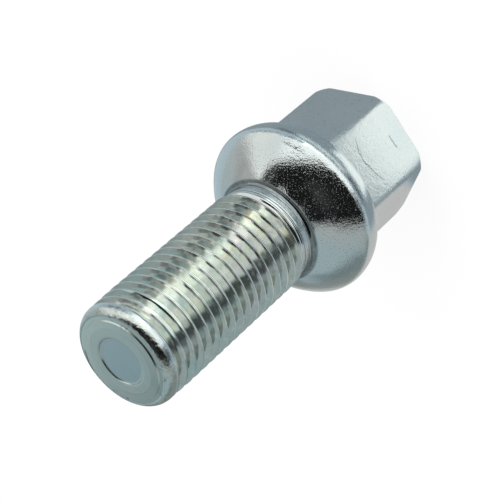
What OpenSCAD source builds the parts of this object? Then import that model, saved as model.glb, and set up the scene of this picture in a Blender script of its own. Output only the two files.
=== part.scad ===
// Wheel bolt with a ball seat, one forged and rolled piece, in millimetres.
// It stands on the end of its hex head, and +Z runs along the shank to the tip.
// The origin is the middle of the head's end face.

/* [Hex head] */
// Width across the flats
hex_af = 17; // [16.7:0.1:17.2]
// How far each corner is rounded in from the sharp corner
hex_corner_cut = 0.15; // [0.1:0.05:0.5]
// Length over which the corners are rounded off towards the end face
hex_round_len = 2; // [1.2:0.1:3]
// How far the corners fall back over that length
hex_corner_fall = 0.65; // [0.3:0.05:1]
// Bevel between the flats and the end face
hex_edge_bevel = 0.3; // [0.1:0.05:0.6]
// Distance from the end face to where the ball seat stops
head_len = 21.1; // [19.5:0.1:25]

/* [Collar and ball seat] */
// Largest diameter of the collar
collar_d = 23.6; // [22.4:0.2:25]
// Radius of the ball seat, centred on the bolt's axis
seat_r = 14; // [13:0.5:16]
// Rounding between the seat and the collar's largest diameter
rim_r = 2; // [1:0.1:2.5]
// Radius of the collar's rounded back, towards the hex
back_r = 4.2; // [3.8:0.1:6]

/* [Neck] */
// Depth of the plain neck below the thread's largest diameter
neck_depth = 0.4; // [0.2:0.05:0.6]
// Length of the neck, with its hollow root
neck_len = 2.1; // [1.5:0.1:4]
// Radius of the hollow root between the seat and the neck
neck_root_r = 0.5; // [0.3:0.05:0.8]

/* [Threaded shank] */
// Largest diameter of the thread
thread_d = 14; // [12:0.5:16]
// Distance from the end of the seat to the tip
shank_len = 28.7; // [20:0.1:60]

/* [Tip] */
// Length of the nose, from the last full thread to the tip's flat end
nose_len = 3.4; // [3:0.1:5]
// How far the nose tapers in from the thread's largest diameter
nose_taper = 0.4; // [0.1:0.05:0.6]
// Rounding of the tip's edge
tip_edge_r = 1.5; // [0.6:0.1:1.8]
// Width of the slightly sloping ring between the rounding and the flat end
tip_ring_w = 1; // [0.6:0.05:1.4]
// Slope of that ring, in degrees
tip_slope = 6; // [3:1:8]
// Diameter of the round hollow in the middle of the tip
dimple_d = 6.3; // [5:0.1:7.5]
// Depth of the hollow
dimple_depth = 0.25; // [0.1:0.05:1]
// Width of the hollow's sloping wall
dimple_wall = 0.15; // [0.05:0.05:0.3]

/* [Hidden] */
$fn = 96;

overall_len = head_len + shank_len;
hex_sharp_r = hex_af / 2 / cos(30);
hex_corner_r = hex_sharp_r - hex_corner_cut;
// Radius of the arc that rounds the corners off
hex_round_r = (pow(hex_corner_fall, 2) + pow(hex_round_len, 2)) / (2 * hex_corner_fall);
collar_r = collar_d / 2;
thread_r = thread_d / 2;
neck_r = thread_r - neck_depth;
// The hollow root is as wide as its radius, and the seat stops at its outer edge
seat_inner_r = neck_r + neck_root_r;

// Height of the seat's centre on the axis, so that the seat stops at head_len
seat_z = head_len - sqrt(pow(seat_r, 2) - pow(seat_inner_r, 2));
// The rim's circle touches the seat from inside and has the collar's largest radius
rim_z = seat_z + sqrt(pow(seat_r - rim_r, 2) - pow(collar_r - rim_r, 2));
// Direction from the seat's centre to the point where rim and seat touch
rim_dir = atan2(rim_z - seat_z, collar_r - rim_r);
rim_touch = [seat_r * cos(rim_dir), seat_z + seat_r * sin(rim_dir)];
// Height at which the collar's back runs into the middle of a hex flat
back_in = back_r - (collar_r - hex_af / 2);
back_z = rim_z - sqrt(pow(back_r, 2) - pow(back_in, 2));

// The root's middle lies a little above the seat's edge, so that the two surfaces cross
root_z = head_len + 0.7 * neck_root_r;
thread_z = head_len + neck_len;
thread_run_in = (thread_r - neck_r) * 0.6;
nose_z = overall_len - nose_len;
// Middle of the tip edge's rounding, and the direction where the sloping ring takes over
edge_mid_r = thread_r - nose_taper - tip_edge_r;
edge_dir = 90 - 2 * tip_slope;
edge_end = [edge_mid_r + tip_edge_r * cos(edge_dir), tip_edge_r * sin(edge_dir)];
tip_flat_r = edge_end[0] - tip_ring_w;
edge_z = overall_len - tip_ring_w * tan(tip_slope) - edge_end[1];

// Half section of the ball seat, from the axis to the rim's touching point
module seat_section() {
  intersection() {
    translate([0, seat_z]) circle(r = seat_r, $fn = 192);
    polygon([
      [0, rim_z],
      [rim_touch[0] - 0.3, rim_z],
      rim_touch,
      [rim_touch[0] + 2, rim_touch[1] + 0.001],
      [rim_touch[0], head_len],
      [0, head_len]
    ]);
  }
}

// Half section of the rim's rounding
module rim_section() {
  translate([collar_r - rim_r, rim_z]) circle(r = rim_r);
}

// Half section of the collar's rounded back
module back_section() {
  intersection() {
    translate([collar_r - back_r, rim_z]) circle(r = back_r);
    translate([0, back_z - 1]) square([collar_r, rim_z - back_z + 1]);
  }
}

// The collar, from its rounded back to the ball seat and the hollow root of the neck
module collar() {
  rotate_extrude() {
    difference() {
      union() {
        seat_section();
        rim_section();
        back_section();
        translate([0, back_z]) square([collar_r - back_r + 0.1, rim_z - back_z + 0.5]);
        translate([0, head_len - 1]) square([seat_inner_r, root_z - head_len + 1]);
      }
      translate([seat_inner_r, root_z]) circle(r = neck_root_r, $fn = 48);
    }
  }
}

// Half section that limits the corners: an arc up from the end face, then straight
module corner_section() {
  intersection() {
    union() {
      translate([hex_corner_r - hex_round_r, hex_round_len]) circle(r = hex_round_r);
      translate([0, hex_round_len]) square([hex_corner_r, rim_z]);
      polygon([
        [0, 0],
        [hex_corner_r - hex_corner_fall - 0.5, 0],
        [hex_corner_r - 0.5, hex_round_len + 0.1],
        [0, hex_round_len + 0.1]
      ]);
    }
    square([hex_corner_r + 1, rim_z + 1]);
  }
}

// The hex prism, with its corners rounded off and a bevel round the end face
module hex_head() {
  difference() {
    intersection() {
      rotate([0, 0, 30]) cylinder(r = hex_sharp_r, h = rim_z, $fn = 6);
      rotate_extrude() corner_section();
    }
    for (k = [0:5])
      rotate([0, 0, 60 * k])
        translate([hex_af / 2 - hex_edge_bevel, 0, 0])
          rotate([0, 45, 0])
            translate([0, -hex_af, -hex_af / 2]) cube([3, 2 * hex_af, hex_af]);
  }
}

// The plain round part of the neck
module neck() {
  translate([0, 0, root_z - 0.5]) cylinder(r = neck_r, h = thread_z - root_z + 1);
}

// The shank at the thread's largest diameter, with its run-in
module shank() {
  translate([0, 0, thread_z]) cylinder(r1 = neck_r, r2 = thread_r, h = thread_run_in);
  translate([0, 0, thread_z + thread_run_in]) cylinder(r = thread_r, h = nose_z - thread_z - thread_run_in);
}

// The nose: the thread tapers off, the edge is rounded and a sloping ring leads to the flat end
module nose() {
  rotate_extrude() {
    union() {
      polygon([
        [0, nose_z],
        [thread_r, nose_z],
        [thread_r - nose_taper, edge_z],
        [0, edge_z]
      ]);
      intersection() {
        translate([edge_mid_r, edge_z]) circle(r = tip_edge_r);
        polygon([
          [edge_mid_r, edge_z],
          [edge_mid_r + 2 * tip_edge_r, edge_z],
          [edge_mid_r + 2 * tip_edge_r, edge_z + 2 * tip_edge_r],
          [edge_mid_r + 2 * tip_edge_r * cos(edge_dir), edge_z + 2 * tip_edge_r * sin(edge_dir)]
        ]);
      }
      polygon([
        [0, edge_z - 0.5],
        [edge_mid_r, edge_z - 0.5],
        [edge_mid_r, edge_z],
        [edge_end[0], edge_z + edge_end[1]],
        [tip_flat_r, overall_len],
        [0, overall_len]
      ]);
    }
  }
}

// The shallow round hollow in the tip
module dimple() {
  dimple_r = dimple_d / 2;
  translate([0, 0, overall_len - dimple_depth])
    cylinder(r1 = dimple_r - dimple_wall, r2 = dimple_r, h = dimple_depth);
  translate([0, 0, overall_len]) cylinder(r = dimple_r, h = 1);
}

// The whole bolt, one piece of zinc-plated steel
module wheel_bolt() {
  color([0.66, 0.7, 0.71]) difference() {
    union() {
      hex_head();
      collar();
      neck();
      shank();
      nose();
    }
    dimple();
  }
}

wheel_bolt();
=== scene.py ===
"""Looks of the wheel bolt: one forged and rolled piece of zinc-plated steel with a clear blue passivate."""
import math
from types import SimpleNamespace

import bmesh
import bpy
import numpy as np
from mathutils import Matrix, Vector


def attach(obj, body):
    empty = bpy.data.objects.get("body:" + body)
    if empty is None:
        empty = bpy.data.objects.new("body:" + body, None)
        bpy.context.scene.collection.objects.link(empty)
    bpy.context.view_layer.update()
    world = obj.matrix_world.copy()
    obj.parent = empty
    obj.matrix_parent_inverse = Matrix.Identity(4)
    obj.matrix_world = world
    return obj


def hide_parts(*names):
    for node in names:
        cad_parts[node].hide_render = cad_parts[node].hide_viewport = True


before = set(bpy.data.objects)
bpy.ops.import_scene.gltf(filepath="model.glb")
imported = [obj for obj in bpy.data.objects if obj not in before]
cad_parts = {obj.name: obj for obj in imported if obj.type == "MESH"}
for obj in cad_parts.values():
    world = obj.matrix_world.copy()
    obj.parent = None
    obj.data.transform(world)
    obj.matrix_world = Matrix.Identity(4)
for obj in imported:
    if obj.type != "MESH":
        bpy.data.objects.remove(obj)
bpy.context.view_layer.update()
MM = 0.001


# Node writing
class Sock:
    """A node output, with the arithmetic that makes further Math nodes."""

    def __init__(self, nodes, out):
        self.nodes, self.out = nodes, out

    def __add__(self, other):
        return self.nodes.math("ADD", self, other)

    def __sub__(self, other):
        return self.nodes.math("SUBTRACT", self, other)

    def __rsub__(self, other):
        return self.nodes.math("SUBTRACT", other, self)

    def __mul__(self, other):
        return self.nodes.math("MULTIPLY", self, other)

    def __truediv__(self, other):
        return self.nodes.math("DIVIDE", self, other)

    def __rtruediv__(self, other):
        return self.nodes.math("DIVIDE", other, self)

    def __mod__(self, other):
        return self.nodes.math("FLOORED_MODULO", self, other)

    def __rmod__(self, other):
        return self.nodes.math("FLOORED_MODULO", other, self)

    def __gt__(self, other):
        return self.nodes.math("GREATER_THAN", self, other)

    def __lt__(self, other):
        return self.nodes.math("LESS_THAN", self, other)

    __radd__ = __add__
    __rmul__ = __mul__

    def fn(self, operation, *others):
        """Any other Math operation on this value."""
        return self.nodes.math(operation, self, *others)

    def clamp(self):
        return self.nodes.math("ADD", self, 0.0, clamp=True)

    def low(self, other):
        return self.fn("MINIMUM", other)

    def high(self, other):
        return self.fn("MAXIMUM", other)

    def ramp(self, a, b, lo=0.0, hi=1.0):
        """Smooth step of this value from lo at a to hi at b."""
        ends = {"Value": self, "From Min": a, "From Max": b, "To Min": lo, "To Max": hi}
        return self.nodes.add("ShaderNodeMapRange", {"interpolation_type": "SMOOTHSTEP"}, ends)

    def band(self, rise, fall):
        """Cover of a band: it rises over the first pair of values and falls again over the second."""
        return self.ramp(*rise) * self.ramp(*fall)

    def near(self, middle, fall):
        """Cover of a thin line at a value: it falls with the distance, over the pair given."""
        return (self - middle).fn("ABSOLUTE").ramp(*fall)


class Nodes:
    """A node tree. Its add method makes every node."""

    def __init__(self, tree):
        self.tree = tree

    def add(self, kind, settings=None, values=None, out=0):
        """Adds a node: first its settings, then the values or links of its sockets. Gives one output."""
        node = self.tree.nodes.new(kind)
        for name, value in (settings or {}).items():
            setattr(node, name, value)
        for name, value in (values or {}).items():
            socket = node.inputs[name]
            if isinstance(value, Sock):
                self.tree.links.new(value.out, socket)
            elif socket.type == "RGBA":
                socket.default_value = (*value, 1.0)
            else:
                socket.default_value = value
        return Sock(self, node.outputs[out]) if node.outputs else None

    def outputs(self, kind, values=None):
        """Adds a node and gives all its outputs by name."""
        node = self.add(kind, None, values).out.node
        return {out.name: Sock(self, out) for out in node.outputs if out.name}

    def math(self, operation, *values, clamp=False):
        settings = {"operation": operation, "use_clamp": clamp}
        return self.add("ShaderNodeMath", settings, dict(enumerate(values)))

    def mix(self, factor, a, b, label=""):
        """Colour a, with colour b over it where the factor is 1."""
        settings = {"data_type": "RGBA", "label": label}
        return self.add("ShaderNodeMix", settings, {0: factor, 6: a, 7: b}, out=2)

    def noise(self, vector, scale, detail=2.0, rough=0.5, seed=0.0):
        values = {"Vector": vector, "W": seed, "Scale": scale, "Detail": detail, "Roughness": rough}
        return self.add("ShaderNodeTexNoise", {"noise_dimensions": "4D"}, values)

    def join(self, x, y, z):
        return self.add("ShaderNodeCombineXYZ", None, {"X": x, "Y": y, "Z": z})

    def split(self, vector):
        return self.outputs("ShaderNodeSeparateXYZ", {0: vector}).values()

    def object_place(self):
        """A point's place in its own object, in metres."""
        return self.add("ShaderNodeTexCoord", out=3)

    def surface(self, shader):
        self.add("ShaderNodeOutputMaterial", None, {"Surface": shader})


def new_material(name):
    mat = bpy.data.materials.new(name)
    mat.use_nodes = True
    mat.node_tree.nodes.clear()
    return mat, Nodes(mat.node_tree)


def place_mesh(name, bm, material):
    """Makes an object of a bmesh, with one material, and puts it into the scene."""
    mesh = bpy.data.meshes.new(name)
    bm.to_mesh(mesh)
    bm.free()
    mesh.materials.append(material)
    obj = bpy.data.objects.new(name, mesh)
    bpy.context.collection.objects.link(obj)
    return obj


# Sizes of the bolt, in millimetres, with angles in degrees
HEX_AF, CORNER_CUT, CORNER_SOFT, CORNER_LEN, CORNER_FALL, END_ROUND = 17.0, 0.15, 0.05, 2.0, 0.65, 0.35
HEAD_LEN, TOTAL_LEN = 21.1, 49.8
COLLAR_R, SEAT_R, RIM_R, BACK_R, BACK_FILLET = 11.8, 14.0, 2.0, 4.2, 0.35
NECK_R, ROOT_FILLET, ROOT_LEN, NECK_END = 6.6, 0.5, 0.75, 22.3
NECK_RINGS = (21.96, 22.1, NECK_END)
CREST_R, GROOVE_R, PITCH, THREAD_END = 6.95, 6.07, 1.5, 48.2
# How much wider the nose is half way to the thread's end, and where the thread ends
NOSE_FLARE = (0.005, 0.011)
NOSE_R, SHOULDER_R, EDGE_R, SHOULDER_TILT = 6.84, 0.2, 1.66, 38.0
RING_SLOPE, STEP_R, STEP_W, STEP_DROP, FLAT_R = 3.0, 5.36, 0.115, 0.16, 4.41
DIMPLE_R, DIMPLE_DEPTH, DIMPLE_WALL = 3.15, 0.16, 0.11

# The hollow's wall: shares of its width outward and of its depth down
WALL_POINTS = ((-1.5, 1.0), (-1.05, 0.97), (-0.85, 0.88), (0.0, 0.06))
# The hollow's lip and the low ridge round the flat middle: millimetres outward and down
LIP_POINTS = ((0.03, 0.012), (0.09, 0.0), (0.35, 0.0))
RIDGE_POINTS = ((-0.12, 0.0), (-0.02, 0.0), (0.06, 0.004), (0.16, 0.0084))

# Gap between two rings beside the seat's edge, and beside the step in the sloping ring
SEAT_GAP, STEP_GAP = 0.02, 0.1
MERGE_DISTANCE = 0.002
# Edges with a larger angle than this stay sharp
SHARP_ANGLE = 50

# Rings on the head's end face, as shares of its outline
END_FACE_RINGS = (0.25, 0.5, 0.75, 0.93, 0.985)
COLUMNS = 180
ANGLES = np.arange(COLUMNS) * 2 * math.pi / COLUMNS

# The ball seat ends at the neck's hollow root, and the rim's circle touches it from inside
SEAT_INNER = NECK_R + ROOT_FILLET
SEAT_Z = HEAD_LEN - math.sqrt(SEAT_R ** 2 - SEAT_INNER ** 2)
RIM_Z = SEAT_Z + math.sqrt((SEAT_R - RIM_R) ** 2 - (COLLAR_R - RIM_R) ** 2)
RIM_DIR = math.atan2(RIM_Z - SEAT_Z, COLLAR_R - RIM_R)


# Head, collar and seat
def hex_outline(z):
    """Radius of the hex at that height, its corners rounded off towards the end face."""
    off = (ANGLES + math.pi / 6) % (math.pi / 3) - math.pi / 6
    side = HEX_AF / 2
    if z < END_ROUND:
        side += math.sqrt(END_ROUND ** 2 - (END_ROUND - z) ** 2) - END_ROUND
    corner = HEX_AF / 2 / math.cos(math.pi / 6) - CORNER_CUT
    if z < CORNER_LEN:
        arc = (CORNER_FALL ** 2 + CORNER_LEN ** 2) / (2 * CORNER_FALL)
        corner += math.sqrt(arc ** 2 - (CORNER_LEN - z) ** 2) - arc
    both = np.exp(-side / np.cos(off) / CORNER_SOFT) + np.exp(-corner / CORNER_SOFT)
    return -CORNER_SOFT * np.log(both)


def blend_over(a, b, width):
    """The larger of two radii, with a hollow fillet of about that width between them."""
    h = np.clip(0.5 + 0.5 * (b - a) / width, 0, 1)
    return a * (1 - h) + b * h + width * h * (1 - h) * 0.5


def head_rows():
    """Rings (z, radius for every column) from the end face to the neck's end."""
    rings = [(0.0, hex_outline(0.0) * share) for share in END_FACE_RINGS]
    heights = [END_ROUND * (1 - math.cos(math.radians(a))) for a in range(0, 91, 15)]
    heights += list(np.linspace(0.5, CORNER_LEN + 0.3, 12)) + [3.0, 4.5, 6.0, 8.0, 9.6]
    heights += list(np.linspace(9.9, RIM_Z, 44))
    for z in heights:
        back = -1.0
        if z > RIM_Z - BACK_R:
            back = COLLAR_R - BACK_R + math.sqrt(max(BACK_R ** 2 - (z - RIM_Z) ** 2, 0.0))
        rings.append((z, blend_over(hex_outline(z), np.full(COLUMNS, back), BACK_FILLET)))
    for a in np.linspace(0, RIM_DIR, 13)[1:]:
        rings.append((RIM_Z + RIM_R * math.sin(a), np.full(COLUMNS, COLLAR_R - RIM_R + RIM_R * math.cos(a))))
    seat_end = math.acos((SEAT_INNER + SEAT_GAP) / SEAT_R)
    for a in np.linspace(RIM_DIR, seat_end, 34)[1:]:
        rings.append((SEAT_Z + SEAT_R * math.sin(a), np.full(COLUMNS, SEAT_R * math.cos(a))))
    root_z = rings[-1][0] + ROOT_LEN + SEAT_GAP
    for a in np.radians(np.linspace(-80, 0, 9)):
        root_r = SEAT_INNER - ROOT_FILLET * math.cos(a)
        rings.append((root_z + ROOT_LEN * math.sin(a), np.full(COLUMNS, root_r)))
    return rings + [(z, np.full(COLUMNS, NECK_R)) for z in NECK_RINGS]


# Nose and tip
def arc_down(start, radius, tilt_from, tilt_to, steps):
    """Points (radius, depth) of a convex arc whose surface tilts from one angle to the other."""
    first = math.radians(tilt_from)
    for tilt in np.radians(np.linspace(tilt_from, tilt_to, steps + 1)):
        out = radius * (math.sin(tilt) - math.sin(first))
        down = radius * (math.cos(first) - math.cos(tilt))
        yield start[0] + out, start[1] + down


def tip_rows():
    """Rings from the thread's end over the rounded edge to the bottom of the hollow."""
    slope = math.tan(math.radians(RING_SLOPE))
    points = [(DIMPLE_R * share, DIMPLE_DEPTH) for share in (0.2, 0.5, 0.85)]
    points += [(DIMPLE_R + out * DIMPLE_WALL, down * DIMPLE_DEPTH) for out, down in WALL_POINTS]
    points += [(DIMPLE_R + out, down) for out, down in LIP_POINTS]
    points += [(FLAT_R + out, down) for out, down in RIDGE_POINTS]
    drop = (STEP_R - FLAT_R) * slope
    points += [(STEP_R - STEP_GAP, drop - STEP_GAP * slope), (STEP_R, drop)]
    foot_r, drop = STEP_R + STEP_W, drop + STEP_DROP
    points += [(foot_r, drop), (foot_r + STEP_GAP, drop + STEP_GAP * slope)]
    # the sloping ring runs out to a small shoulder, which runs into the tip's rounded edge
    flat_tilt, full_tilt = math.sin(math.radians(2 * RING_SLOPE)), math.sin(math.radians(SHOULDER_TILT))
    edge_r = NOSE_R - EDGE_R * (1 - full_tilt) - SHOULDER_R * (full_tilt - flat_tilt)
    edge = (edge_r, points[-1][1] + (edge_r - points[-1][0]) * slope)
    points += list(arc_down(edge, SHOULDER_R, 2 * RING_SLOPE, SHOULDER_TILT, 7))
    points += list(arc_down(points[-1], EDGE_R, SHOULDER_TILT, 90, 18))[1:]
    last = TOTAL_LEN - points[-1][1]
    points += [(NOSE_R + NOSE_FLARE[0], TOTAL_LEN - (THREAD_END + last) / 2)]
    points += [(NOSE_R + NOSE_FLARE[1], TOTAL_LEN - THREAD_END)]
    return [(TOTAL_LEN - depth, np.full(COLUMNS, r)) for r, depth in reversed(points)]


def ring_mesh(name, rings, start_pole, end_pole):
    """Joins a stack of rings into a mesh, with a pole at one end where its height is given."""
    verts, faces = [], []
    cos, sin = np.cos(ANGLES), np.sin(ANGLES)
    for z, radius in rings:
        verts += [(r * c * MM, r * s * MM, z * MM) for r, c, s in zip(radius, cos, sin)]
    for k in range(len(rings) - 1):
        for i in range(COLUMNS):
            j = (i + 1) % COLUMNS
            a, b = k * COLUMNS, (k + 1) * COLUMNS
            faces.append((a + i, a + j, b + j, b + i))
    if start_pole is not None:
        verts.append((0, 0, start_pole * MM))
        p = len(verts) - 1
        faces += [(p, (i + 1) % COLUMNS, i) for i in range(COLUMNS)]
    if end_pole is not None:
        verts.append((0, 0, end_pole * MM))
        p, a = len(verts) - 1, (len(rings) - 1) * COLUMNS
        faces += [(p, a + i, a + (i + 1) % COLUMNS) for i in range(COLUMNS)]
    mesh = bpy.data.meshes.new(name)
    mesh.from_pydata(verts, [], faces)
    return mesh


# The rolled thread, in millimetres
THREAD_INPUTS = {
    "Start": NECK_END, "Length": THREAD_END - NECK_END, "Pitch": PITCH, "Crest Radius": CREST_R,
    "Root Radius": GROOVE_R, "Neck Radius": NECK_R, "Nose Radius": NOSE_R + NOSE_FLARE[1],
    "Crest Phase": 0.125, "Run In": 1.6, "Run Out": 0.8,
    "Columns": COLUMNS, "Rows Per Turn": 16, "Seed": 7,
}
FLANK_ANGLE, ROOT_SOFT, CREST_SOFT = 60, 0.05, 0.03
# How uneven the crests are, and the noise that makes them so
CREST_UNEVEN, UNEVEN_R, UNEVEN_SCALE = 0.05, 7.0, 0.55
# Places of a profile's rows, from the crest's middle to the root's, as shares of that way
ROW_PLACES = (0.0, 0.100, 0.125, 0.158, 0.40, 0.765, 0.8025, 0.84, 1.0)


def rows_at_bends(part):
    """Moves evenly spread rows of one turn to where the profile bends, alike on both flanks."""
    half = part.low(1.0 - part) * 2.0
    row = half * (len(ROW_PLACES) - 1.0)
    steps = enumerate(zip(ROW_PLACES, ROW_PLACES[1:]))
    bent = sum((row - k).clamp() * (b - a) for k, (a, b) in steps) * 0.5
    return bent + (part > 0.5) * (1.0 - bent * 2.0)


def thread_tree(material):
    """Geometry nodes: one grid wound along the helix, so that its rows follow crest and root."""
    tree = bpy.data.node_groups.new("rolled thread", "GeometryNodeTree")
    for label, value in THREAD_INPUTS.items():
        kind = "NodeSocketInt" if isinstance(value, int) else "NodeSocketFloat"
        tree.interface.new_socket(label, in_out="INPUT", socket_type=kind).default_value = value
    tree.interface.new_socket("Geometry", in_out="OUTPUT", socket_type="NodeSocketGeometry")
    n = Nodes(tree)
    g = n.outputs("NodeGroupInput")
    turns = g["Length"] / g["Pitch"]
    rows = (turns * g["Rows Per Turn"]).fn("CEIL") + g["Rows Per Turn"]
    counts = {"Size X": 1.0, "Size Y": 1.0, "Vertices X": g["Columns"] + 1, "Vertices Y": rows + 1}
    grid = n.add("GeometryNodeMeshGrid", None, counts)
    across, up, _ = n.split(n.add("GeometryNodeInputPosition"))
    around, along = across + 0.5, up + 0.5

    # rows rise by one pitch in a turn, and at both ends they run into the plain ring
    step = along * rows / g["Rows Per Turn"] + g["Crest Phase"]
    cell = step.fn("FLOOR")
    turn = cell + rows_at_bends(step - cell) - g["Crest Phase"] - 1.0 + around
    height = (turn * g["Pitch"]).high(0.0).low(g["Length"])
    left = g["Length"] - height

    # the profile: wave is 1 on the crest and 0 in the root, and the crest's flat is an eighth of the pitch
    phase = (height / g["Pitch"] - around + g["Crest Phase"]) % 1.0
    wave = (phase - 0.5).fn("ABSOLUTE") * 2.0
    down = (1.0 - wave) * g["Pitch"] * 0.5
    flank = g["Crest Radius"] - (down - g["Pitch"] / 16) * math.tan(math.radians(FLANK_ANGLE))
    section = flank.fn("SMOOTH_MAX", g["Root Radius"], ROOT_SOFT)
    section = section.fn("SMOOTH_MIN", g["Crest Radius"], CREST_SOFT)

    # rolled crests are slightly uneven
    bend = around * (2 * math.pi)
    cos, sin = bend.fn("COSINE"), bend.fn("SINE")
    uneven = n.noise(n.join(cos * UNEVEN_R, sin * UNEVEN_R, height), UNEVEN_SCALE, seed=g["Seed"])

    # the grooves run in at the neck and out at the nose, and the crests fall to the nose's radius
    depth = height.ramp(0.5, g["Run In"]) * left.ramp(0.1, g["Run Out"])
    plain = g["Neck Radius"] + (g["Nose Radius"] - g["Neck Radius"]) * height.ramp(3.0, g["Length"] - 3.0)
    radius = plain + (section - plain) * depth + (uneven - 0.5) * CREST_UNEVEN * depth
    fall = (1.0 - left.ramp(0.0, 4.0)) * (g["Crest Radius"] - g["Nose Radius"])
    radius = radius.low(g["Crest Radius"] - fall)

    spot = n.join(radius * cos * MM, radius * sin * MM, (height + g["Start"]) * MM)
    wound = n.add("GeometryNodeSetPosition", None, {"Geometry": grid, "Position": spot})
    closed = {"Geometry": wound, "Distance": MERGE_DISTANCE * MM}
    merged = n.add("GeometryNodeMergeByDistance", None, closed)
    real = n.add("GeometryNodeRealizeInstances", None, {"Geometry": merged})
    done = n.add("GeometryNodeSetMaterial", None, {"Geometry": real, "Material": material})
    n.add("NodeGroupOutput", None, {"Geometry": done})
    return tree


def rolled_thread(material):
    """The thread's mesh, with the tree's inputs set before it is first worked out."""
    holder = bpy.data.objects.new("thread holder", bpy.data.meshes.new("thread holder"))
    bpy.context.collection.objects.link(holder)
    mod = holder.modifiers.new("thread", "NODES")
    mod.node_group = thread_tree(material)
    for item in mod.node_group.interface.items_tree:
        if item.in_out == "INPUT":
            mod[item.identifier] = THREAD_INPUTS[item.name]
    result = holder.evaluated_get(bpy.context.evaluated_depsgraph_get())
    mesh = bpy.data.meshes.new_from_object(result)
    holder.modifiers.remove(mod)
    bpy.data.objects.remove(holder)
    return mesh


# Zinc plate. Heights and radii are in millimetres, bearings in degrees round the bolt's axis
# Directions across the shank of two sides with less gold tint. The first one also turns teal
TEAL_SIDE, PLAIN_SIDE = (-0.94, -0.342), (0.342, 0.94)
# Direction of the flat with the scratches
MARKED_FLAT = math.radians(120)
# Distance between the neck's turning lines, and the depth of the relief
TURNING_PITCH, BUMP_DEPTH = 0.42, 0.022


def plate_zones(n, spot):
    """Where a point lies on the bolt, and how far it belongs to each zone of the plate."""
    x, y, z = n.split(spot)
    height = z / MM
    radius = (x * x + y * y).fn("SQRT") / MM
    head = height.ramp(21.2, 21.0)
    to_teal, to_plain = ((x * a + y * b) / (radius * MM) for a, b in (TEAL_SIDE, PLAIN_SIDE))
    return SimpleNamespace(
        x=x, y=y, height=height, radius=radius, head=head,
        thread=height.band((23.2, 23.8), (48.4, 47.6)),
        tip=height.ramp(48.4, 49.0),
        tip_edge=height.ramp(48.0, 48.4) * radius.ramp(5.9, 6.15),
        neck=height.band((21.5, 21.6), (22.8, 22.4)),
        # root: the band where the seat runs into the neck, which the colour darkens as painted shade
        root=height.band((20.9, 21.1), (22.0, 21.75)) * radius.ramp(7.6, 7.2),
        seat=height.ramp(12.6, 13.6) * head,
        flats=height.ramp(12.6, 11.6),
        teal_side=to_teal.ramp(0.84, 0.95),
        plain_side=to_plain.ramp(0.75, 0.95),
        bearing=y.fn("ARCTAN2", x) * (180 / math.pi))


def plate_grains(n, spot):
    """The plate's noises, from the broad clouds to the specks."""
    return SimpleNamespace(
        broad=n.noise(spot, 90.0, 3.0, 0.55, 1.0),
        patch=n.noise(spot, 260.0, 5.0, 0.62, 2.0),
        tint=n.noise(spot, 420.0, 4.0, 0.65, 5.0),
        ripple=n.noise(spot, 520.0, 1.0, 0.5, 6.0),
        mottle=n.noise(spot, 620.0, 5.0, 0.7, 11.0),
        pits=n.noise(spot, 1100.0, 3.0, 0.6, 9.0).ramp(0.60, 0.68),
        coarse=n.noise(spot, 1500.0, 3.0, 0.65, 4.0),
        grain=n.noise(spot, 4600.0, 2.0, 0.6, 3.0),
        specks=n.noise(spot, 6200.0, 1.0, 0.5, 8.0).ramp(0.56, 0.68))


def plate_marks(at, grains):
    """Two thin scratches on one flat, a nick in the tip's edge and a wrinkled patch on the seat."""
    cos, sin = math.cos(MARKED_FLAT), math.sin(MARKED_FLAT)
    on_flat = ((at.x * cos + at.y * sin) / MM).ramp(8.3, 8.45)
    along = (at.y * cos - at.x * sin) / MM
    wobble = (grains.patch - 0.5) * 1.6 + (grains.coarse - 0.5) * 0.5
    bow = (along - 0.6) * (along - 0.6) * -0.085 + 9.0
    long_scratch = (at.height + wobble).near(bow, (0.13, 0.03)) * along.band((-3.1, -2.6), (3.6, 3.0))
    short_scratch = (at.height + wobble).near(3.1, (0.12, 0.03)) * along.band((-1.2, -0.8), (1.0, 0.7))
    nick_line = (at.bearing + 80.0).high(0.0) * 0.015 + 5.77
    nick = (at.radius + (grains.coarse - 0.5) * 0.3).near(nick_line, (0.16, 0.07))
    on_nose = at.height.ramp(48.6, 48.9) * at.bearing.band((-90.0, -84.0), (-56.0, -62.0))
    return SimpleNamespace(
        scratch=long_scratch.high(short_scratch) * on_flat,
        nick=nick * on_nose,
        creased=at.seat * at.bearing.near(165.0, (11.0, 4.0)) * at.height.near(17.1, (0.6, 0.2)))


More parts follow.
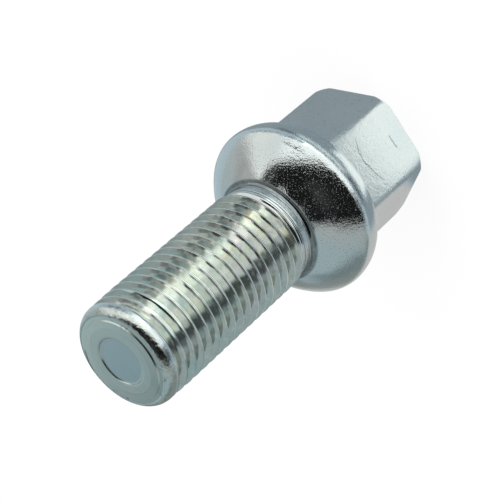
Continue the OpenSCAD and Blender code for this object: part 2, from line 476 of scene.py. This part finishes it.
def plate_colour(n, at, grains, marks):
    """The plate's colour: layers over a pale steel, each with its cover and its colour. The dark band at the
    neck's root is painted shade, and the thin dark lines on the tip are painted reflections.
    """
    thread, tip, mottle, patch = at.thread, at.tip, grains.mottle, grains.patch
    gold_side = (1.0 - at.teal_side * 0.8) * (1.0 - at.plain_side * 0.7)
    gold = thread * grains.tint.ramp(0.5, 0.62) * at.height.ramp(30.0, 40.0, 1.0, 0.35) * gold_side
    rose = thread * grains.tint.ramp(0.47, 0.38) * at.height.ramp(28.0, 40.0, 0.8, 0.2)
    teal_thread = thread * at.teal_side * patch.ramp(0.6, 0.4, 0.15, 0.65)
    teal_end = patch.ramp(0.48, 0.36) * (tip + thread * at.height.ramp(32.0, 44.0)).clamp()
    # Dull spots on the seat and flats, and painted shade on the band at the neck's root
    dull_and_root_shade = grains.coarse.ramp(0.58, 0.74) * (at.seat * 0.2 + at.flats * 0.45) + at.root * 0.75
    # A darker line of painted shade along the neck's root, broken up by noise
    root_shade_line = at.height.band((20.95, 21.12), (21.6, 21.4)) * at.radius.ramp(7.6, 7.3)
    root_shade_line = root_shade_line * grains.coarse.ramp(0.35, 0.55, 0.5, 1.0)
    # Thin dark rings painted at the hollow's wall and at the ridge round the flat middle: painted
    # reflections of dark surroundings, broken up by noise
    hollow_dark_reflection = at.radius.band((3.04, 3.1), (3.24, 3.17))
    ridge_dark_reflection = at.radius.band((4.36, 4.41), (4.52, 4.45))
    tip_dark_reflections = tip * (hollow_dark_reflection + ridge_dark_reflection * 0.5) * patch.ramp(0.4, 0.6, 0.08, 0.5)
    layers = (
        ("thread's own shade", thread, (0.64, 0.665, 0.63)),
        ("pale mottle", thread * mottle.ramp(0.5, 0.64) * 0.55, (0.83, 0.84, 0.79)),
        ("dark mottle", thread * mottle.ramp(0.48, 0.36) * 0.5, (0.44, 0.50, 0.47)),
        ("gold tint", gold * 0.6, (0.86, 0.80, 0.60)),
        ("rose tint", rose * 0.5, (0.80, 0.68, 0.72)),
        ("teal tint of the thread's one side", teal_thread, (0.46, 0.56, 0.55)),
        ("leaf green tint", thread * patch.ramp(0.52, 0.64) * 0.35, (0.60, 0.70, 0.62)),
        ("teal tint towards the tip", teal_end * 0.55, (0.48, 0.64, 0.64)),
        ("bluish hollow", tip * at.radius.ramp(3.0, 2.8) * 0.8, (0.55, 0.66, 0.70)),
        ("warmer ring round it", tip * at.radius.ramp(2.9, 3.2) * 0.5, (0.68, 0.73, 0.66)),
        ("pale grain of the flats", at.flats * grains.grain.ramp(0.35, 0.7) * 0.5, (0.86, 0.88, 0.87)),
        ("pits at the tip's edge", grains.pits * tip * at.radius.ramp(4.8, 5.6) * 0.7, (0.30, 0.32, 0.31)),
        # the root's part of this layer, and all of the next one, are painted shade
        ("dull spots and root", dull_and_root_shade.clamp(), (0.36, 0.39, 0.40)),
        ("painted shade line at the root", root_shade_line * 0.6, (0.14, 0.15, 0.155)),
        ("mottle of the tip's edge", at.tip_edge * mottle.ramp(0.5, 0.6) * 0.4, (0.40, 0.45, 0.44)),
        # painted dark reflections at the tip's hollow wall and ridge
        ("painted dark reflections on the tip", tip_dark_reflections, (0.2, 0.22, 0.23)),
        ("scratches", marks.scratch * 0.5, (0.30, 0.33, 0.35)),
        ("nick", marks.nick * 0.75, (0.10, 0.13, 0.12)),
    )
    steel = n.mix(grains.broad.ramp(0.35, 0.65), (0.66, 0.71, 0.725), (0.74, 0.765, 0.76), "pale steel")
    for label, cover, colour in layers:
        steel = n.mix(cover, steel, colour, label)
    return steel


def plate_roughness(at, grains):
    rough = 0.11 - at.seat * 0.06 + at.seat * grains.specks * 0.38
    rough = rough + at.flats * (0.17 + grains.grain.ramp(0.4, 0.7) * 0.1) + at.thread * 0.03
    rough = rough + (at.tip - at.tip_edge).clamp() * 0.12 + at.neck * grains.specks * 0.14
    return (rough + (grains.patch - 0.5) * 0.1).clamp()


def plate_bump(n, at, grains, marks):
    """The plate's fine relief: grain by zone, scratches, wrinkles and the neck's turning lines."""
    # the seat is smoother close to the neck
    seat = at.seat * (1.0 - at.seat * at.radius.ramp(9.6, 8.2) * 0.65)
    turning = (at.height * (2 * math.pi / TURNING_PITCH)).fn("SINE")
    turning = turning * at.height.band((22.4, 22.55), (23.4, 23.1))
    fine = seat * 1.15 + at.flats * 2.2 + at.tip * 0.1 + at.tip_edge * 1.6 + at.neck * 1.2
    coarse = seat * 1.2 + at.flats * 3.0 + at.tip * 0.15 + at.tip_edge * 2.6 + at.neck * 1.6
    relief = grains.grain * fine - marks.scratch * 3.0 + grains.coarse * coarse
    relief = relief + grains.patch * (at.head * 0.7 + at.seat * 0.6 + at.tip * 0.5)
    relief = relief + grains.mottle * seat * 1.2 + grains.coarse * marks.creased * 5.0
    relief = relief + grains.ripple * (at.thread * 4.2 + at.head * 0.5) + turning * 1.3
    return n.add("ShaderNodeBump", None, {"Strength": 1.0, "Distance": BUMP_DEPTH * MM, "Height": relief})


def zinc_plate():
    mat, n = new_material("zinc plate, clear blue passivate")
    spot = n.object_place()
    at, grains = plate_zones(n, spot), plate_grains(n, spot)
    marks = plate_marks(at, grains)
    n.surface(n.add("ShaderNodeBsdfPrincipled", None, {
        "Base Color": plate_colour(n, at, grains, marks), "Metallic": 1.0,
        "Roughness": plate_roughness(at, grains), "Normal": plate_bump(n, at, grains, marks)}))
    return mat


# The bolt
def wheel_bolt():
    material = zinc_plate()
    parts = (ring_mesh("head", head_rows(), 0.0, None), rolled_thread(material),
             ring_mesh("tip", tip_rows(), None, TOTAL_LEN - DIMPLE_DEPTH))
    bm = bmesh.new()
    for part in parts:
        bm.from_mesh(part)
        bpy.data.meshes.remove(part)
    bmesh.ops.remove_doubles(bm, verts=bm.verts, dist=MERGE_DISTANCE * MM)
    bmesh.ops.recalc_face_normals(bm, faces=bm.faces)
    for face in bm.faces:
        face.smooth = True
        face.material_index = 0
    open_edges = sum(not edge.is_manifold for edge in bm.edges)
    triangles = sum(len(face.verts) - 2 for face in bm.faces)
    print("bolt: open edges", open_edges, "faces", len(bm.faces), "triangles", triangles)
    bolt = place_mesh("bolt", bm, material)
    bolt.data.set_sharp_from_angle(angle=math.radians(SHARP_ANGLE))
    return bolt


# Camera, floor and light, in metres
CAMERA_AT = Vector((-0.106924, 0.115158, 0.149938))
CAMERA_TURN = (-0.696637, 0.626238, 1.361065)
CAMERA_AZ = math.atan2(CAMERA_AT.y, CAMERA_AT.x)
STAGE_CENTRE = 0.03
STAGE_R, FLOOR_R = 0.6, 3.0
TENT_FOOT, CARD_HEIGHT = 0.0005, 0.0003
FLOOR_SHADE, BACKGROUND_SHARE = (0.95, 0.95, 0.95), 0.85


def add_camera():
    data = bpy.data.cameras.new("camera")
    data.sensor_width = 36.0
    data.lens = 118.893
    data.clip_start = 0.005
    data.clip_end = 20.0
    camera = bpy.data.objects.new("camera", data)
    camera.location = CAMERA_AT
    camera.rotation_euler = CAMERA_TURN
    bpy.context.collection.objects.link(camera)
    bpy.context.scene.camera = camera


def add_world():
    world = bpy.data.worlds.new("studio")
    bpy.context.scene.world = world
    world.use_nodes = True
    world.node_tree.nodes["Background"].inputs["Color"].default_value = (1.0, 1.0, 1.0, 1.0)


def disc(radius, height):
    bm = bmesh.new()
    bmesh.ops.create_circle(bm, cap_ends=True, radius=radius, segments=96)
    bmesh.ops.translate(bm, verts=bm.verts, vec=(0, 0, height))
    return bm


def add_floor():
    """A pale floor, nearly white to the camera and in reflections, that still takes the bolt's shadow."""
    mat, n = new_material("pale floor")
    paper = n.add("ShaderNodeBsdfDiffuse", None, {"Color": FLOOR_SHADE})
    white = n.add("ShaderNodeEmission", None, {"Strength": 1.0})
    path = n.outputs("ShaderNodeLightPath")
    seen = (path["Is Camera Ray"] + path["Is Glossy Ray"] + path["Is Transmission Ray"]).clamp()
    n.surface(n.add("ShaderNodeMixShader", None, {0: seen * BACKGROUND_SHARE, 1: paper, 2: white}))
    return place_mesh("floor", disc(FLOOR_R, 0.0), mat)


def only_in_metal(obj):
    """Lets only the metal show a card, and hides it from everything else."""
    obj.visible_camera = False
    obj.visible_diffuse = False
    obj.visible_shadow = False
    obj.visible_transmission = False
    obj.visible_volume_scatter = False
    return obj


def directions(n, centre_height):
    """Azimuth from the camera's side and elevation, in degrees, and distance of a card's own points."""
    x, y, z = n.split(n.object_place())
    c, s = math.cos(CAMERA_AZ), math.sin(CAMERA_AZ)
    front, side = x * c + y * s, y * c - x * s
    flat = (x * x + y * y).fn("SQRT")
    az = side.fn("ARCTAN2", front) * (180 / math.pi)
    el = (z - centre_height).fn("ARCTAN2", flat) * (180 / math.pi)
    return az, el, flat


def lay_over(level, patches):
    """Lays patches of light over a level, each with its own level and its cover."""
    for label, strength, cover in patches:
        level = level + (strength - level) * cover
        level.out.node.label = label
    return level


def glow(n, colour, strength):
    """Light of a colour, with its strength worked into the colour."""
    light = n.add("ShaderNodeVectorMath", {"operation": "SCALE"}, {"Vector": colour, "Scale": strength})
    n.surface(n.add("ShaderNodeEmission", None, {"Color": light}))


# Azimuth is 0 on the camera's side and grows to the right, as seen by someone who stands there
TENT_LEVEL = 0.42
TENT_COOL, TENT_WARM = (0.80, 1.0, 1.05), (0.97, 1.0, 0.97)
# Levels of the ground card's right and left side
CARD_LEVELS = (0.36, 0.62)
CARD_COOL, CARD_NEUTRAL = (0.80, 0.97, 1.06), (0.93, 1.0, 0.98)
CARD_LEFT_NEAR, CARD_LEFT_FAR = (1.0, 0.99, 0.98), (0.9, 1.0, 0.96)


def tent_cloths(az, el):
    """The tent's cloths: level, steps in azimuth, then the lower and the upper edge."""
    # the bright cloth below ends at a line that rises to the right, and the gap at another one
    line = el - 18.0 - az.low(0.0) * 0.35 - az.high(0.0).low(32.0) * 0.45 - (az.high(32.0) - 32.0) * 0.2
    top = el + (az.high(50.0).low(66.0) - 50.0) * 0.62 - az.band((-12.0, 0.0), (58.0, 48.0)) * 4.0
    cloths = (
        ("left wall", 0.48, ((-185, -184), (-62, -66)), (el, 0, 14), (el, 70, 55)),
        ("dark strip of the left wall", 0.25, ((-150, -135), (-96, -104)), (el, -7, -3), (el, 16, 10)),
        ("back wall, right half", 0.44, ((150, 168), (190, 185)), (el, 5, 15), (el, 60, 50)),
        ("paler middle of that half", 0.56, ((150, 160), (181, 172)), (el, 14, 22), (el, 48, 38)),
        ("low strip between right and back", 0.52, ((118, 128), (172, 158)), (el, -6, 0), (el, 22, 14)),
        ("back wall, left half", 0.44, ((-190, -185), (-150, -168)), (el, 5, 15), (el, 60, 50)),
        ("darker middle of that half", 0.34, ((-181, -173), (-150, -160)), (el, 5, 15), (el, 60, 50)),
        ("dark foot of the back wall", 0.08, ((-190, -185), (-150, -162)), (el, -48, -40), (el, 8, 0)),
        ("bright foot of the back wall", 0.9, ((140, 150), (176, 166)), (el, -60, -50), (el, -18, -26)),
        ("bright cloth below the gap", 1.25, ((-36, -20), (114, 84)), (el, -40, -30), (line, 3, -2)),
        ("roof", 0.64, ((-300, -299), (300, 299)), (el, 75, 79), (el, 100, 99)),
        ("roof's bright back, right", 1.1, ((100, 125), (190, 185)), (el, 68, 74), (el, 100, 99)),
        ("roof's bright back, left", 1.1, ((-190, -185), (-100, -125)), (el, 68, 74), (el, 100, 99)),
        ("bright patch above the gap", 1.5, ((50, 60), (88, 80)), (el, 63, 68), (el, 80, 77)),
        ("grey patch right of it", 0.4, ((82, 90), (130, 120)), (el, 60, 66), (el, 82, 79)),
        ("dark patch below that", 0.2, ((104, 108), (118, 113)), (el, 44, 48), (el, 62, 58)),
        ("dark patch left of the gap", 0.06, ((-102, -92), (-66, -74)), (el, 60, 63), (el, 80, 76)),
        ("dark band over the back, right", 0.03, ((130, 150), (190, 185)), (el, 52, 57), (el, 81, 75)),
        ("dark band over the back, left", 0.03, ((-190, -185), (-130, -150)), (el, 52, 57), (el, 81, 75)),
        ("roof over the camera", 0.24, ((-67, -60), (86, 66)), (el, 73, 76), (el, 100, 99)),
        ("roof's middle", 0.6, ((-86, -72), (100, 90)), (el, 78.5, 81.5), (el, 100, 99)),
        ("grey patch of the right wall", 0.48, ((106, 118), (150, 140)), (el, 24, 30), (el, 50, 44)),
        ("bright patch, low on the right", 0.85, ((92, 98), (122, 110)), (el, -14, -9), (el, 10, 4)),
        ("softer end of the bright cloth", 0.93, ((60, 72), (114, 102)), (el, -10, 0), (line, 3, -2)),
        ("dark gap round the camera", 0.012, ((-67, -63), (99, 86)), (line, -1.5, 2.5), (top, 77, 72)),
        ("gap's paler right end", 0.06, ((70, 80), (110, 100)), (line, -1.5, 2.5), (el, 57, 51)),
        ("fold in the gap", 0.05, ((-45, -30), (20, 5)), (el, 42, 48), (el, 62, 56)),
    )
    for label, level, turn, (low, *rise), (high, *fall) in cloths:
        yield label, level, az.band(*turn) * low.ramp(*rise) * high.ramp(*fall)


def add_tent():
    """The light tent: grey cloth, a dark gap round the camera, bright cloth below and beside it."""
    mat, n = new_material("light tent")
    az, el, _ = directions(n, STAGE_CENTRE)
    cool = az.ramp(110, 165).high(az.ramp(-60, -110))
    glow(n, n.mix(cool, TENT_WARM, TENT_COOL), lay_over(TENT_LEVEL, tent_cloths(az, el)))
    bm = bmesh.new()
    bmesh.ops.create_uvsphere(bm, u_segments=96, v_segments=48, radius=STAGE_R)
    bmesh.ops.translate(bm, verts=bm.verts, vec=(0, 0, STAGE_CENTRE))
    whole = bm.verts[:] + bm.edges[:] + bm.faces[:]
    bmesh.ops.bisect_plane(bm, geom=whole, plane_co=(0, 0, TENT_FOOT), plane_no=(0, 0, -1), clear_outer=True)
    return only_in_metal(place_mesh("light tent", bm, mat))


def add_ground_card():
    """A card on the floor, bright towards the camera and grey elsewhere. Reach is in millimetres."""
    mat, n = new_material("ground card")
    az, _, flat = directions(n, 0.0)
    reach = flat / MM
    foot = az.band((-46.0, -34.0), (20.0, 14.0)) * (reach + az.ramp(-8.0, 4.0) * 2.5).ramp(22.5, 18.5)
    front = az.band((-36.0, -20.0), (68.0, 46.0)) * reach.ramp(54.0, 64.0)
    collar_side = az.band((-14.0, 0.0), (62.0, 44.0)) * reach.band((23.0, 28.0), (34.4, 33.7))
    patches = (
        ("sides and back", 0.62, az.band((-125.0, -100.0), (176.0, 158.0)) * reach.ramp(34.0, 40.0)),
        ("left", 0.5, az.ramp(-98.0, -108.0) * reach.ramp(42.0, 50.0)),
        ("left, farther out", 0.3, az.ramp(-72.0, -84.0) * reach.ramp(55.0, 80.0)),
        ("ring round the head", reach.ramp(34.6, 38.0, 0.1, 0.46),
         az.band((-48.0, -36.0), (84.0, 62.0)) * reach.band((25.0, 29.0), (64.0, 54.0))),
        ("beside the collar", 0.95, collar_side),
        ("at the head's foot", 1.12, foot),
        ("front", 1.25, front),
        ("front, right end", 0.6, az.band((44.0, 54.0), (130.0, 115.0)) * reach.ramp(62.0, 80.0)),
        ("brightest strip", 1.95, az.band((14.0, 26.0), (50.0, 42.0)) * reach.ramp(62.0, 80.0)),
        ("dark strip on the left", 0.09, az.band((-74.0, -50.0), (-22.0, -38.0)) * reach.ramp(75.0, 95.0)),
        ("dim strip on the right", 0.3, az.band((66.0, 73.0), (108.0, 98.0)) * reach.ramp(100.0, 130.0)),
    )
    level = lay_over(az.ramp(-62.0, -78.0, *CARD_LEVELS), patches)
    main_colour = n.mix(foot.high(front).high(collar_side), CARD_COOL, CARD_NEUTRAL)
    left_colour = n.mix(reach.ramp(40.0, 60.0), CARD_LEFT_NEAR, CARD_LEFT_FAR)
    glow(n, n.mix(az.ramp(-66.0, -80.0), main_colour, left_colour), level)
    return only_in_metal(place_mesh("ground card", disc(STAGE_R, CARD_HEIGHT), mat))


def add_lamp(name, az, el, distance, size, power):
    """A round lamp towards an azimuth from the camera's side and an elevation, in degrees."""
    data = bpy.data.lights.new(name, "AREA")
    data.shape = "DISK"
    data.size = size
    data.energy = power
    lamp = bpy.data.objects.new(name, data)
    a, e = CAMERA_AZ + math.radians(az), math.radians(el)
    way = Vector((math.cos(a) * math.cos(e), math.sin(a) * math.cos(e), math.sin(e)))
    lamp.location = Vector((0, 0, STAGE_CENTRE)) + way * distance
    lamp.rotation_euler = way.to_track_quat("Z", "Y").to_euler()
    lamp.visible_glossy = False
    bpy.context.collection.objects.link(lamp)


bolt = wheel_bolt()
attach(bolt, "root")
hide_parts("wheel_bolt")
add_camera()
add_world()
add_floor()
add_tent()
add_ground_card()
add_lamp("key", az=60.0, el=50.0, distance=0.9, size=0.5, power=2.0)
add_lamp("fill", az=-80.0, el=40.0, distance=1.1, size=0.7, power=1.2)
bpy.context.scene.view_settings.view_transform = "Standard"
